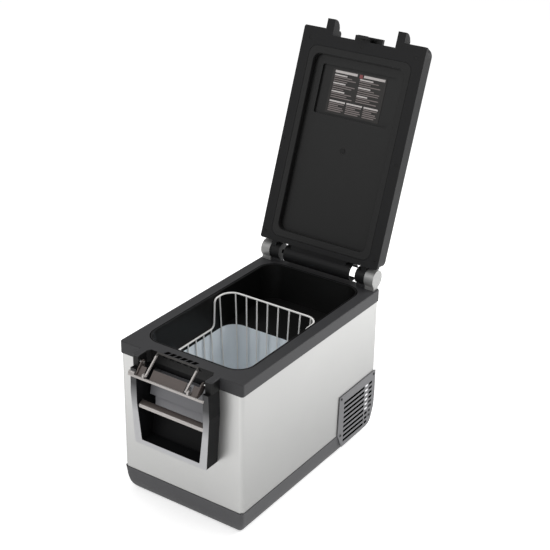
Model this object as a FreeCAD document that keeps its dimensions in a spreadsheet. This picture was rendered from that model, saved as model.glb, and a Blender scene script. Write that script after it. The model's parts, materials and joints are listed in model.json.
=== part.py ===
import FreeCAD, Part
import math
import os
import re
import Sketcher

# Compressor cooler fridge with a hinged lid, a fold-down front latch and a wire basket.
# Millimetres. +X is to the right seen from the latch end, +Y runs towards the hinges, +Z is up.
# The origin is the middle of the footprint, on the floor. The lid stands open at rest.

doc = FreeCAD.newDocument("cooler_fridge")
sheet = doc.addObject("Spreadsheet::Sheet", "Dimensions")

DIMENSIONS = [
    # overall body
    ("body_width", 380), ("body_length", 635), ("rim_top", 441), ("rim_height", 33.5),
    ("base_top", 70), ("foot_height", 3), ("foot_radius", 17), ("foot_along", 262),
    ("foot_across", 148), ("corner_round", 11), ("rim_corner", 7.5), ("base_corner", 8.5),
    ("steel", 1.2), ("steel_inset", 1.5), ("seam", 0.3),
    ("insert_along", 200), ("insert_across", 130), ("insert_radius", 3.3), ("insert_depth", 16),
    # opening, collar and tub
    ("mouth_half", 155), ("mouth_front", -269), ("mouth_rear", 287), ("mouth_round", 48),
    ("shelf_level", 341), ("tub_half", 142.5), ("tub_front", -257), ("tub_rear", 86),
    ("tub_floor", 105), ("tub_floor_half", 137), ("tub_lean", 5), ("tub_wall", 2), ("collar_wall", 2.5),
    ("bay_front", 132), ("bay_top", 292),
    # latch pocket, front frame and handles
    ("pocket_back", -306), ("pocket_half", 97), ("pocket_mouth_half", 103), ("ear_front", -350),
    ("ear_outer", 123), ("frame_top_half", 120), ("frame_mid_half", 122), ("frame_low_half", 112.5),
    ("frame_low", 194.5), ("frame_mid", 340), ("frame_front", 358), ("well_back", 292),
    ("well_low", 208), ("well_low_half", 91), ("grip_level", 305), ("grip_front", 357),
    ("grip_half", 100.2), ("button_level", 366),
    # latch
    ("pivot_y", -343), ("pivot_z", 423), ("pivot_radius", 3), ("fit_gap", 0.06),
    ("lip_half", 115), ("wing_half", 95), ("bail_y", -371), ("bail_z", 407), ("bail_half", 60),
    ("bar_y", -322), ("bar_z", 449), ("bar_radius", 2.5),
    # hinge and lid
    ("hinge_y", 311.2), ("hinge_z", 470.5), ("lid_open", 109.9), ("barrel_radius", 25),
    ("barrel_half", 108), ("knuckle_inner", 125), ("knuckle_outer", 155), ("knuckle_radius", 23),
    ("cap_outer", 183),
    ("pin_radius", 6), ("lid_half", 190.7), ("lid_rear", 283.9), ("lid_front", -317.5),
    ("lid_under", 441.8), ("lid_over", 488.5), ("lid_corner", 6), ("lid_crown", 24), ("lid_edge", 10),
    ("lid_flange", 11),
    ("seal_half", 160), ("seal_front", -269.2), ("seal_rear", 268.8), ("panel_half", 142),
    ("panel_front", -249.2), ("panel_rear", 249.8), ("recess", 458), ("skin", 3),
    ("label_half", 116), ("label_near", -224), ("label_far", -89), ("notch_depth", 16),
    ("tab_inner", 98), ("tab_outer", 122), ("tab_reach", 27.5), ("catch_half", 43),
    # side grilles
    ("grille_front", 126), ("grille_rear", 315), ("grille_top", 190), ("grille_low", 26),
    ("slot_pitch", 14.7), ("slot_first", 43), ("slot_rows", 9), ("slot_height", 8),
    # basket
    ("wire_radius", 2), ("bend_swell", 0.03), ("rail_radius", 2.5), ("basket_half", 145.3),
    ("basket_low_half", 127),
    ("basket_front", -252), ("basket_rear", 82), ("basket_floor", 118), ("basket_turn", 36),
    ("basket_side_level", 352), ("basket_top", 433), ("basket_step", 12), ("wire_pitch", 34.7),
    # compressor bay
    ("can_radius", 58), ("can_height", 118), ("can_x", -78), ("can_y", 226), ("plate_level", 24),
    ("fan_size", 120), ("fan_x", 112), ("fan_y", 222), ("fan_z", 92), ("fan_depth", 25),
    ("coil_x", 142), ("coil_depth", 26),
]

for row, (alias, size) in enumerate(DIMENSIONS, start=1):
    sheet.set("A%d" % row, alias)
    sheet.set("B%d" % row, str(size))
    sheet.setAlias("B%d" % row, alias)
doc.recompute()

ALIASES = re.compile(r"\b(%s)\b" % "|".join(alias for alias, _ in DIMENSIONS))
PLANES = {"top": "XY_Plane", "front": "XZ_Plane", "side": "YZ_Plane"}
AXES = {"X": (FreeCAD.Vector(0, 1, 0), 90), "Y": (FreeCAD.Vector(1, 0, 0), -90),
        "Z": (FreeCAD.Vector(0, 0, 1), 0)}
LID_SCREWS = [("165", "-285.7"), ("-165", "-285.7"), ("0", "-285.7"), ("178", "-1"), ("-178", "-1"),
              ("178", "262"), ("-178", "262")]
NODES = []


# ---------------------------------------------------------------- helpers

def linked(text):
    """The expression with each sheet alias given its full name."""
    return ALIASES.sub(r"Dimensions.\1", str(text))


def size_of(text):
    """The number that a sheet expression stands for."""
    return float(sheet.evalExpression(str(text)))


def bind(item, prop, text):
    item.setExpression(prop, linked(text))


def node(item, label):
    """Marks an object as a finished sub-part that is written out under this name."""
    item.Label = label
    NODES.append(item)
    return item


def place(item, corner):
    for axis, text in zip("xyz", corner):
        bind(item, "Placement.Base." + axis, text)


def block(name, corner, size):
    item = doc.addObject("Part::Box", name)
    for prop, text in zip(("Length", "Width", "Height"), size):
        bind(item, prop, text)
    place(item, corner)
    return item


def rod(name, axis, start, radius, length):
    item = doc.addObject("Part::Cylinder", name)
    bind(item, "Radius", radius)
    bind(item, "Height", length)
    direction, turn = AXES[axis]
    item.Placement = FreeCAD.Placement(FreeCAD.Vector(), FreeCAD.Rotation(direction, turn))
    place(item, start)
    return item


def ball(name, centre, radius):
    item = doc.addObject("Part::Sphere", name)
    bind(item, "Radius", radius)
    place(item, centre)
    return item


def cut(name, base, tool):
    item = doc.addObject("Part::Cut", name)
    item.Base = base
    item.Tool = tool
    return item


def overlap(name, first, second):
    item = doc.addObject("Part::Common", name)
    item.Base = first
    item.Tool = second
    return item


def join(name, pieces):
    item = doc.addObject("Part::MultiFuse", name)
    item.Shapes = pieces
    return item


def group(name, pieces):
    """Separate solids kept together in one node."""
    item = doc.addObject("Part::Compound", name)
    item.Links = pieces
    return item


def pipe(name, axis, start, outer, inner, length):
    return cut(name, rod(name + "_outer", axis, start, outer, length),
               rod(name + "_inner", axis, start, inner, length))


def swing(item, angle):
    """Turns a piece drawn with the lid shut about the lid's hinge line."""
    item.Placement = FreeCAD.Placement(FreeCAD.Vector(), FreeCAD.Rotation(FreeCAD.Vector(1, 0, 0), -1))
    bind(item, "Placement.Rotation.Angle", angle)
    bind(item, "Placement.Base.y", "hinge_y - hinge_y * cos(%s) + hinge_z * sin(%s)" % (angle, angle))
    bind(item, "Placement.Base.z", "hinge_z - hinge_y * sin(%s) - hinge_z * cos(%s)" % (angle, angle))
    return item


def opened(item):
    return swing(item, "-lid_open")


def new_body(name):
    return doc.addObject("PartDesign::Body", name)


def new_sketch(body, plane, level):
    """A sketch on one of the body's own planes, moved along its normal to the level."""
    sketch = body.newObject("Sketcher::SketchObject", "Sketch")
    support = [item for item in body.Origin.OriginFeatures if item.Role == PLANES[plane]][0]
    sketch.AttachmentSupport = [(support, "")]
    sketch.MapMode = "FlatFace"
    sign = "-1" if plane == "front" else "1"
    bind(sketch, "AttachmentOffset.Base.z", "%s * (%s)" % (sign, level))
    return sketch


def fix_point(sketch, line, end, corner):
    """Ties one end of a line to its place, both ways, from the sheet."""
    for kind, text in zip(("DistanceX", "DistanceY"), corner):
        number = sketch.addConstraint(Sketcher.Constraint(kind, -1, 1, line, end, size_of(text)))
        bind(sketch, "Constraints[%d]" % number, text)


def draw_outline(sketch, corners):
    """A closed outline of straight lines through the corners."""
    first = sketch.GeometryCount
    count = len(corners)
    points = [FreeCAD.Vector(size_of(c[0]), size_of(c[1]), 0) for c in corners]
    for i in range(count):
        sketch.addGeometry(Part.LineSegment(points[i], points[(i + 1) % count]), False)
    for i in range(count):
        after = first + (i + 1) % count
        sketch.addConstraint(Sketcher.Constraint("Coincident", first + i, 2, after, 1))
    for i, corner in enumerate(corners):
        fix_point(sketch, first + i, 1, corner[:2])


def draw_rounded(sketch, half, near, far, radius):
    """A rectangle with round corners, from -half to half and from near to far."""
    a, low, high, r = size_of(half), size_of(near), size_of(far), size_of(radius)
    vec = FreeCAD.Vector
    ends = [(vec(r - a, low, 0), vec(a - r, low, 0)), (vec(a, low + r, 0), vec(a, high - r, 0)),
            (vec(a - r, high, 0), vec(r - a, high, 0)), (vec(-a, high - r, 0), vec(-a, low + r, 0))]
    centres = [vec(a - r, low + r, 0), vec(a - r, high - r, 0), vec(r - a, high - r, 0),
               vec(r - a, low + r, 0)]
    first = sketch.GeometryCount
    for side in range(4):
        sketch.addGeometry(Part.LineSegment(*ends[side]), False)
        begin = math.radians(-90 + 90 * side)
        circle = Part.Circle(centres[side], vec(0, 0, 1), r)
        sketch.addGeometry(Part.ArcOfCircle(circle, begin, begin + math.pi / 2), False)
    for side in range(4):
        line, arc, after = first + 2 * side, first + 2 * side + 1, first + (2 * side + 2) % 8
        sketch.addConstraint(Sketcher.Constraint("Tangent", line, 2, arc, 1))
        sketch.addConstraint(Sketcher.Constraint("Tangent", arc, 2, after, 1))
    number = sketch.addConstraint(Sketcher.Constraint("Radius", first + 1, r))
    bind(sketch, "Constraints[%d]" % number, radius)
    for side in (1, 2, 3):
        sketch.addConstraint(Sketcher.Constraint("Equal", first + 1, first + 2 * side + 1))
    sides = (("DistanceY", 0, near), ("DistanceX", 2, half), ("DistanceY", 4, far),
             ("DistanceX", 6, "-(%s)" % half))
    for kind, line, text in sides:
        sketch.addConstraint(Sketcher.Constraint("Horizontal" if kind == "DistanceY" else "Vertical",
                                                 first + line))
        number = sketch.addConstraint(Sketcher.Constraint(kind, -1, 1, first + line, 1, size_of(text)))
        bind(sketch, "Constraints[%d]" % number, text)


def extrude(body, kind, plane, outlines, start, end):
    """Pads or pockets outlines from one level to another. A level is a place along the normal axis."""
    sketch = new_sketch(body, plane, start)
    for outline in outlines:
        if isinstance(outline, dict):
            draw_rounded(sketch, **outline)
        else:
            draw_outline(sketch, outline)
    feature = body.newObject("PartDesign::" + kind, kind)
    feature.Profile = sketch
    upward = size_of(end) > size_of(start)
    bind(feature, "Length", "(%s) - (%s)" % ((end, start) if upward else (start, end)))
    along_normal = upward if plane != "front" else not upward
    feature.Reversed = (not along_normal) if kind == "Pad" else along_normal
    doc.recompute()
    return feature


def pad(body, plane, outlines, start, end):
    return extrude(body, "Pad", plane, outlines, start, end)


def pocket(body, plane, outlines, start, end):
    before = body.Shape.Volume
    feature = extrude(body, "Pocket", plane, outlines, start, end)
    if body.Shape.Volume > before - 1:
        raise RuntimeError("a pocket removed nothing from " + body.Name)
    return feature


def loft(body, kind, sections):
    """A loft through rounded rectangles. Each section is a level and its rectangle."""
    sketches = []
    for level, rectangle in sections:
        sketch = new_sketch(body, "top", level)
        draw_rounded(sketch, **rectangle)
        sketches.append(sketch)
    doc.recompute()
    feature = body.newObject("PartDesign::" + kind, kind)
    feature.Profile = sketches[0]
    feature.Sections = sketches[1:]
    doc.recompute()
    return feature


def edges_where(shape, test):
    """Names of the edges whose two ends and middle all pass the test."""
    names = []
    for number, edge in enumerate(shape.Edges, start=1):
        middle = edge.valueAt((edge.FirstParameter + edge.LastParameter) / 2)
        if all(test(point) for point in [v.Point for v in edge.Vertexes] + [middle]):
            names.append("Edge%d" % number)
    return names


def soften(body, kind, radius, test):
    """Fillets or chamfers the edges that pass the test."""
    base = body.Tip
    feature = body.newObject("PartDesign::" + kind, kind)
    feature.Base = (base, edges_where(base.Shape, test))
    bind(feature, "Radius" if kind == "Fillet" else "Size", radius)
    doc.recompute()
    return feature


def near(a, b, slack=0.02):
    return abs(a - b) < slack


def rectangle(x_low, y_low, x_high, y_high):
    return [(x_low, y_low), (x_high, y_low), (x_high, y_high), (x_low, y_high)]


def slab(name, plane, outline, start, end):
    body = new_body(name)
    pad(body, plane, [outline], start, end)
    return body


def rounded(half, near_edge, far_edge, radius):
    return {"half": half, "near": near_edge, "far": far_edge, "radius": radius}


def wire_path(points, radius):
    """A round wire along the points, with a very slightly larger ball at each bend, as one shape."""
    pieces = []
    for start, end in zip(points, points[1:]):
        pieces.append(Part.makeCylinder(radius, (end - start).Length, start, end - start))
    pieces += [Part.makeSphere(radius + size_of("bend_swell"), point) for point in points[1:-1]]
    return pieces[0].multiFuse(pieces[1:]) if pieces[1:] else pieces[0]


def from_shape(name, shape):
    item = doc.addObject("Part::Feature", name)
    item.Shape = shape
    return item


# ---------------------------------------------------------------- casing

def outer_cabinet():
    body = new_body("OuterCabinet")
    half, end = "body_width / 2 - steel_inset", "body_length / 2 - steel_inset"
    low, high = "base_top + seam", "rim_top - rim_height - seam"
    pad(body, "top", [rounded(half, "-(%s)" % end, end, "corner_round")], low, high)
    inner = rounded(half + " - steel", "-(%s - steel)" % end, end + " - steel", "corner_round - steel")
    pocket(body, "top", [inner], high, "base_top - 1")
    pocket(body, "front", [rectangle("-108", "197", "108", "rim_top")], "-330", "-300")
    window = rectangle("grille_front + 10", "0", "300", "grille_top - 12")
    pocket(body, "side", [window], "-200", "200")
    pocket(body, "front", [rectangle("-118", "0", "118", "186")], "300", "330")
    return node(body, "outer_cabinet")


def base_tray():
    body = new_body("BaseTray")
    half, end = "body_width / 2", "body_length / 2"
    sections = []
    for level, inset in (("base_top", 0), ("36", 4), ("16", 9.5), ("foot_height", 19)):
        edge = "%s - %s" % (end, inset)
        sections.append((level, rounded("%s - %s" % (half, inset), "-(%s)" % edge, edge,
                                        "base_corner")))
    loft(body, "AdditiveLoft", sections)
    pocket(body, "top", [rounded("172", "-299", "299", "14")], "base_top + 1", "30")
    pocket(body, "top", [rounded("162", "-288", "288", "10")], "31", "10")
    grille = rectangle("grille_front - 2", "0", "330", "base_top + 10")
    for inner, outer in (("188.4", "200"), ("-200", "-188.4")):
        pocket(body, "side", [grille], inner, outer)
    window = rectangle("grille_front + 24", "36", "288", "base_top + 10")
    pocket(body, "side", [window], "-200", "200")
    pocket(body, "front", [rectangle("-118", "34", "118", "base_top + 10")], "290", "330")
    pocket(body, "front", [rectangle("-124.4", "27.6", "124.4", "base_top + 10")], "316", "330")
    holes = []
    for x, y in corners_of("insert_across", "insert_along"):
        holes.append(rod("InsertHole", "Z", (x, y, "0"), "insert_radius + 2.2", "foot_height + 30"))
    holes.append(rod("DrainHole", "Z", ("0", "-90", "0"), "11.3", "40"))
    return node(cut("BaseTrayDrilled", body, join("InsertHoles", holes)), "base_tray")


def corners_of(across, along):
    return [("%s * (%s)" % (a, across), "%s * (%s)" % (b, along)) for a in (-1, 1) for b in (-1, 1)]


def rubber_feet():
    """A pad near each corner and one in the middle of the footprint."""
    feet = []
    for x, y in corners_of("foot_across", "foot_along") + [("0", "0")]:
        feet.append(rod("Foot", "Z", (x, y, "0"), "foot_radius", "foot_height"))
    return node(group("RubberFeet", feet), "rubber_feet")


def base_inserts():
    inserts = []
    for x, y in corners_of("insert_across", "insert_along"):
        inserts.append(pipe("Insert", "Z", (x, y, "foot_height"), "insert_radius + 2.2",
                            "insert_radius", "insert_depth"))
    return node(group("BaseInserts", inserts), "base_inserts")


def top_rim():
    body = new_body("TopRim")
    half, end = "body_width / 2", "body_length / 2"
    low = "rim_top - rim_height"
    pad(body, "top", [rounded(half, "-(%s)" % end, end, "rim_corner")], low, "rim_top")
    ears = []
    for side in (-1, 1):
        ears.append(rectangle("%d * pocket_mouth_half" % side, "ear_front", "%d * ear_outer" % side,
                              "-body_length / 2 + 10"))
    pad(body, "top", ears, low, "rim_top")
    soften(body, "Fillet", "7", lambda p: near(p.y, size_of("ear_front"))
           and (near(abs(p.x), size_of("ear_outer"))))
    soften(body, "Fillet", "2.5", lambda p: near(p.z, size_of("rim_top")))
    pocket(body, "top", [rounded("mouth_half", "mouth_front", "mouth_rear", "mouth_round")],
           "rim_top + 1", "400")
    latch_pocket = [("-pocket_half", "pocket_back"), ("pocket_half", "pocket_back"),
                    ("pocket_mouth_half", "-body_length / 2 - 0.01"),
                    ("pocket_mouth_half", "ear_front - 5"), ("-pocket_mouth_half", "ear_front - 5"),
                    ("-pocket_mouth_half", "-body_length / 2 - 0.01")]
    pocket(body, "top", [latch_pocket], "rim_top + 1", "400")
    ribs = []
    for column in range(6):
        start = "-59 + 21 * %d" % column
        ribs.append(rectangle(start, "rim_top - 11", start + " + 13", "rim_top - 3.5"))
    pocket(body, "front", ribs, "pocket_back - 1", "pocket_back + 4")
    saddle = [("299.5", "rim_top - 1"), ("body_length / 2 - 2.6", "rim_top - 1"),
              ("body_length / 2 - 2.6", "450"), ("299.5", "450")]
    saddles = [slab("Saddle", "side", saddle, start, end)
               for start, end in (("knuckle_inner", "knuckle_outer"), ("-knuckle_outer", "-knuckle_inner"))]
    cutters = [rod("PinSeat", "X", (x, "pivot_y", "pivot_z"), "pivot_radius + 0.02", "12")
               for x in ("pocket_mouth_half - 2", "-pocket_mouth_half - 10")]
    cutters.append(rod("SaddleCurve", "X", hinge_line("-knuckle_outer - 5"), "knuckle_radius + 0.4",
                       "2 * knuckle_outer + 10"))
    whole = join("TopRimWhole", [body] + saddles)
    return node(cut("TopRimDrilled", whole, join("RimCutters", cutters)), "top_rim")


def tapered(level, extra, drop=0):
    """The collar's section at a level, grown or shrunk by extra."""
    top = level == "rim_top"
    half = "mouth_half - 0.3" if top else "tub_half + 3"
    front = "mouth_front + 0.3" if top else "tub_front - 3"
    rear = "mouth_rear - 0.3" if top else "mouth_rear - 12"
    radius = "mouth_round" if top else "mouth_round - 3"
    level_text = "%s + %s" % (level, drop)
    return (level_text, rounded("%s + %s" % (half, extra), "%s - (%s)" % (front, extra),
                                "%s + %s" % (rear, extra), "%s + %s" % (radius, extra)))


def collar_liner():
    body = new_body("CollarLiner")
    loft(body, "AdditiveLoft", [tapered("rim_top", 0, -1), tapered("shelf_level", 0, -3)])
    loft(body, "SubtractiveLoft", [tapered("rim_top", "-collar_wall", 1),
                                   tapered("shelf_level", "-collar_wall")])
    pocket(body, "top", [rounded("tub_half", "tub_front", "tub_rear", "mouth_round - 3")],
           "shelf_level + 1", "shelf_level - 8")
    lamp_hole = rod("LampHole", "X", ("140", "180", "392"), "9", "20")
    return node(cut("CollarLinerDrilled", body, lamp_hole), "collar_liner")


def tub_section(level, grow):
    """The tub's inside at a level, grown by a wall. Its walls lean in towards the floor."""
    share = "(shelf_level - (%s)) / (shelf_level - tub_floor)" % level
    return rounded("tub_half + %s - (tub_half - tub_floor_half) * %s" % (grow, share),
                   "tub_front - (%s) + tub_lean * %s" % (grow, share),
                   "tub_rear + %s - tub_lean * %s" % (grow, share),
                   "mouth_round - 3 + %s - tub_lean * %s" % (grow, share))


def inner_tub():
    body = new_body("InnerTub")
    rim = "shelf_level - 3.2"
    loft(body, "AdditiveLoft", [(rim, tub_section("shelf_level", "tub_wall")),
                                ("tub_floor - tub_wall", tub_section("tub_floor", "tub_wall"))])
    loft(body, "SubtractiveLoft", [("shelf_level + 1", tub_section("shelf_level", 0)),
                                   ("tub_floor", tub_section("tub_floor", 0))])
    floor = size_of("tub_floor")
    soften(body, "Fillet", "10", lambda p: near(p.z, floor) and abs(p.x) < 150)
    drain = rod("DrainMouth", "Z", ("0", "-90", "90"), "11.3", "30")
    return node(cut("InnerTubDrilled", body, drain), "inner_tub")


def insulation_foam():
    body = new_body("InsulationFoam")
    outline = [("-287", "base_top + 4"), ("bay_front - 2", "base_top + 4"), ("bay_front - 2", "bay_top"),
               ("311", "bay_top"), ("311", "rim_top - rim_height - 1"),
               ("-287", "rim_top - rim_height - 1")]
    pad(body, "side", [outline], "-184", "184")
    clearance = "tub_wall + 4"
    loft(body, "SubtractiveLoft", [("shelf_level + 1", tub_section("shelf_level", clearance)),
                                   ("tub_floor - 3", tub_section("tub_floor", clearance))])
    collar = rounded("mouth_half + 1", "mouth_front - 1", "mouth_rear + 1", "mouth_round")
    pocket(body, "top", [collar], "rim_top", "shelf_level - 4")
    drain = rod("DrainDuct", "Z", ("0", "-90", "base_top"), "12.5", "60")
    return node(cut("FoamDrilled", body, drain), "insulation_foam")


def evaporator_panel():
    body = new_body("EvaporatorPanel")
    low, high = "tub_floor + 45", "shelf_level - 40"
    for kind, grow, spare in (("AdditiveLoft", "tub_wall + 3.2", ""),
                              ("SubtractiveLoft", "tub_wall + 0.6", " + 1")):
        top, bottom = high + spare, low + spare.replace("+", "-")
        loft(body, kind, [(top, tub_section(top, grow)), (bottom, tub_section(bottom, grow))])
    return node(body, "evaporator_panel")


# ---------------------------------------------------------------- frames and handles

def handle_frame(prefix, well):
    """The moulded frame round a grip. With a well, it reaches into the cabinet behind the grip."""
    top = "rim_top - rim_height - seam"
    outer = [("-frame_low_half", "frame_low"), ("frame_low_half", "frame_low"),
             ("frame_mid_half", "frame_mid"), ("frame_top_half", top),
             ("-frame_top_half", top), ("-frame_mid_half", "frame_mid")]
    face = new_body(prefix + "Face")
    pad(face, "front", [outer], "-body_length / 2 + steel_inset - 0.1", "-frame_front - 2")
    low = size_of("frame_low")
    soften(face, "Fillet", "5", lambda p: near(p.z, low) and near(abs(p.x), size_of("frame_low_half")))
    curve = [("-311", top), ("-350", top), ("-frame_front + 1", "375"), ("-frame_front", "312"),
             ("-349", "245"), ("-333", "203"), ("-328", "192"), ("-311", "184")]
    profile = slab(prefix + "Profile", "side", curve, "-130", "130")
    soften(profile, "Fillet", "30", lambda p: near(p.y, size_of("-frame_front"), 1.5))
    shell = overlap(prefix + "Shell", face, profile)
    opening = [("-well_low_half", "well_low"), ("well_low_half", "well_low"),
               ("pocket_mouth_half", "312"), ("pocket_mouth_half", "rim_top + 10"),
               ("-pocket_mouth_half", "rim_top + 10"), ("-pocket_mouth_half", "312")]
    inside = new_body(prefix + "Inside")
    pad(inside, "front", [opening], "-280", "-380")
    soften(inside, "Fillet", "3", lambda p: near(p.z, size_of("well_low")) and abs(p.x) > 80)
    if well:
        pan_outline = [("-318", top), ("-well_back + 3", top), ("-well_back + 3", "282"), ("-318", "200")]
        pan = slab(prefix + "Pan", "side", pan_outline, "-106", "106")
        shell = join(prefix + "Whole", [shell, pan])
        hollow_outline = [("-400", "450"), ("-well_back", "450"), ("-well_back", "285"),
                          ("-320", "well_low - 0.5"), ("-400", "well_low - 0.5")]
    else:
        hollow_outline = [("-400", "450"), ("-313", "450"), ("-313", "well_low - 0.5"),
                          ("-400", "well_low - 0.5")]
    hollow = slab(prefix + "Hollow", "side", hollow_outline, "-110", "110")
    space = overlap(prefix + "Space", inside, hollow)
    frame = cut(prefix + "Frame", shell, space)
    bolts = [rod(prefix + "BoltHole", "X", (x, "-338", "grip_level + 5"), "2.6", "14")
             for x in ("96", "-110")]
    return cut(prefix + "Drilled", frame, join(prefix + "Bolts", bolts))


def grip(prefix):
    """The fixed grip between the two uprights: a folded metal bar with a rolled front lip."""
    body = new_body(prefix + "Grip")
    section = [("-grip_front", "grip_level - 13"), ("-grip_front + 6", "grip_level - 14"),
               ("-grip_front + 8", "grip_level - 4"), ("-330", "grip_level + 1"),
               ("-324", "grip_level + 7"), ("-330", "grip_level + 11"),
               ("-grip_front + 6", "grip_level + 10"), ("-grip_front", "grip_level + 5")]
    pad(body, "side", [section], "-grip_half", "grip_half")
    soften(body, "Fillet", "1.8", lambda p: near(p.y, size_of("-grip_front"), 7))
    holes = [rod(prefix + "GripHole", "X", (x, "-338", "grip_level + 5"), "2.6", "12")
             for x in ("grip_half - 9", "-grip_half - 3")]
    return cut(prefix + "GripDrilled", body, join(prefix + "GripHoles", holes))


def turned_about(item):
    """Half a turn about the upright axis, for the same piece at the other end."""
    item.Placement = FreeCAD.Placement(FreeCAD.Vector(), FreeCAD.Rotation(FreeCAD.Vector(0, 0, 1), 180))
    return item


def handles():
    node(handle_frame("Front", True), "front_handle_frame")
    node(grip("Front"), "front_handle_bar")
    node(turned_about(handle_frame("Rear", False)), "rear_handle_frame")
    node(turned_about(grip("Rear")), "rear_handle_bar")


# ---------------------------------------------------------------- controls

def control_panel():
    body = slab("ControlPanel", "side",
                [("-well_back - 0.3", "322"), ("-320", "322"), ("-304", "382"),
                 ("-well_back - 0.3", "382")], "-96", "96")
    soften(body, "Fillet", "4", lambda p: near(abs(p.x), 96) and p.y < -303)
    display = block("DisplayHole", ("-28", "-330", "353"), ("56", "30", "22"))
    cavity = block("BoardSpace", ("-90", "-301.5", "325"), ("180", "20", "54"))
    holes = [rod("ButtonHole", "Y", (x, "-330", "button_level"), "6.2", "30") for x in button_places()]
    return node(cut("ControlPanelCut", body, join("PanelHoles", [display, cavity] + holes)),
                "control_panel")


def button_places():
    return ("-68", "-44", "44", "68")


def display_window():
    """A thin window that lies parallel to the panel's leaning face."""
    outline = [("-310.9", "354.2"), ("-305.7", "373.6"), ("-303.3", "372.9"), ("-308.5", "353.5")]
    return node(slab("DisplayWindow", "side", outline, "-27.7", "27.7"), "display_window")


def buttons():
    for number, x in enumerate(button_places(), start=1):
        key = join("Key%d" % number, [rod("KeyStem", "Y", (x, "-310.2", "button_level"), "5.8", "9"),
                                      ball("KeyTop", (x, "-308.2", "button_level"), "4.2")])
        node(key, "panel_button_%d" % number)


def control_board():
    return node(block("ControlBoard", ("-76", "-300", "326"), ("152", "1.6", "50")), "control_board")


# ---------------------------------------------------------------- latch

def latch_lever():
    lip = slab("LeverLip", "side", [("-377.5", "391"), ("-373", "390.5"), ("-369.5", "395"),
                                    ("-369.5", "401"), ("-374", "403.5"), ("-377.5", "401.5")],
               "-lip_half", "lip_half")
    plate = slab("LeverPlate", "side", [("-371", "398.5"), ("-350", "402.5"), ("-350", "406.5"),
                                        ("-371", "403.2")], "-wing_half", "wing_half")
    pieces = [lip, plate]
    wing = [("-372", "394"), ("-350", "399"), ("-337", "415"), ("-336", "425"), ("-340", "430"),
            ("-347", "430"), ("-356", "418"), ("-372", "404")]
    for start, end in (("wing_half - 6", "wing_half"), ("-wing_half", "6 - wing_half")):
        pieces.append(slab("LeverWing", "side", wing, start, end))
    for start in ("bail_half + 5.5", "-bail_half - 11.5"):
        lug = [("-377", "400"), ("-363", "400"), ("-365", "411"), ("-375", "411")]
        pieces.append(slab("BailLug", "side", lug, start, start + " + 6"))
    holes = [rod("LeverBore", "X", ("-lip_half", "pivot_y", "pivot_z"), "pivot_radius + fit_gap",
                 "2 * lip_half"),
             rod("BailBore", "X", ("-bail_half - 14", "bail_y", "bail_z"), "1.5 + fit_gap",
                 "2 * bail_half + 28")]
    return node(cut("LatchLever", join("LeverBlank", pieces), join("LeverBores", holes)), "latch_lever")


def latch_bail():
    """Two flat arms and the cross bar that hooks under the lid's catch."""
    pieces = [rod("CrossBar", "X", ("-bail_half - 4", "bar_y", "bar_z"), "bar_radius",
                  "2 * bail_half + 8")]
    arm = [("bail_y + 1.9", "bail_z - 2"), ("bar_y + 1.9", "bar_z - 1.6"),
           ("bar_y - 1.9", "bar_z + 1.6"), ("bail_y - 1.9", "bail_z + 2")]
    for start in ("bail_half", "-bail_half - 4"):
        pieces.append(slab("BailArm", "side", arm, start, start + " + 4"))
        pieces.append(rod("BailEye", "X", (start, "bail_y", "bail_z"), "3.1", "4"))
    hole = rod("ArmBore", "X", ("-bail_half - 10", "bail_y", "bail_z"), "1.5 + fit_gap",
               "2 * bail_half + 20")
    return node(cut("LatchBail", join("BailBlank", pieces), hole), "latch_bail")


def latch_pins():
    pins = [rod("PivotPin", "X", (x, "pivot_y", "pivot_z"), "pivot_radius", "20")
            for x in ("wing_half - 7", "-wing_half - 13")]
    node(group("LatchPins", pins), "latch_pins")
    short = [rod("BailPin", "X", (x, "bail_y", "bail_z"), "1.5", "13")
             for x in ("bail_half - 1.5", "-bail_half - 11.5")]
    return node(group("BailPins", short), "bail_pins")


# ---------------------------------------------------------------- grilles, panel and inlets

def grille(name, label, side):
    outline = [("grille_front + 2", "grille_top - 1"), ("grille_rear", "grille_top + 2"),
               ("grille_rear", "112"), ("311", "76"), ("304", "57"), ("294", "40"), ("280", "30"),
               ("246", "grille_low + 1"), ("146", "grille_low - 1"), ("grille_front - 3", "72")]
    body = new_body(name)
    start, end = "body_width / 2 - 1.2", "body_width / 2 + 1.3"
    if side < 0:
        start, end = "-(%s)" % start, "-(%s)" % end
    pad(body, "side", [outline], start, end)
    slots = []
    for line in range(int(size_of("slot_rows"))):
        low = "slot_first - slot_height / 2 + slot_pitch * %d" % line
        high = low + " + slot_height"
        rear = size_of("slot_first + slot_pitch * %d" % line)
        last = 299 if rear > 80 else 286 if rear < 50 else 294
        for left, right in (("grille_front + 25", "258"), ("263", "277"), ("282", str(last))):
            if size_of(right) - size_of(left) > 5:
                slots.append(rectangle(left, low, right, high))
    pocket(body, "side", slots, "-200" if side < 0 else "180", "-180" if side < 0 else "200")
    return node(body, label)


def service_panel():
    body = slab("ServicePanel", "front", rectangle("-124", "28", "124", "188"), "316.2", "319")
    rows = []
    for line in range(6):
        low = "52 + slot_pitch * %d" % line
        rows.append(rectangle("-20", low, "100", low + " + slot_height"))
    pocket(body, "front", rows, "300", "330")
    sockets = [rod("DcHole", "Y", ("-62", "300", "128"), "14.2", "40"),
               block("AcHole", ("-78.2", "300", "60.8"), ("32.4", "40", "24.4"))]
    return node(cut("ServicePanelCut", body, join("SocketHoles", sockets)), "rear_service_panel")


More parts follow.
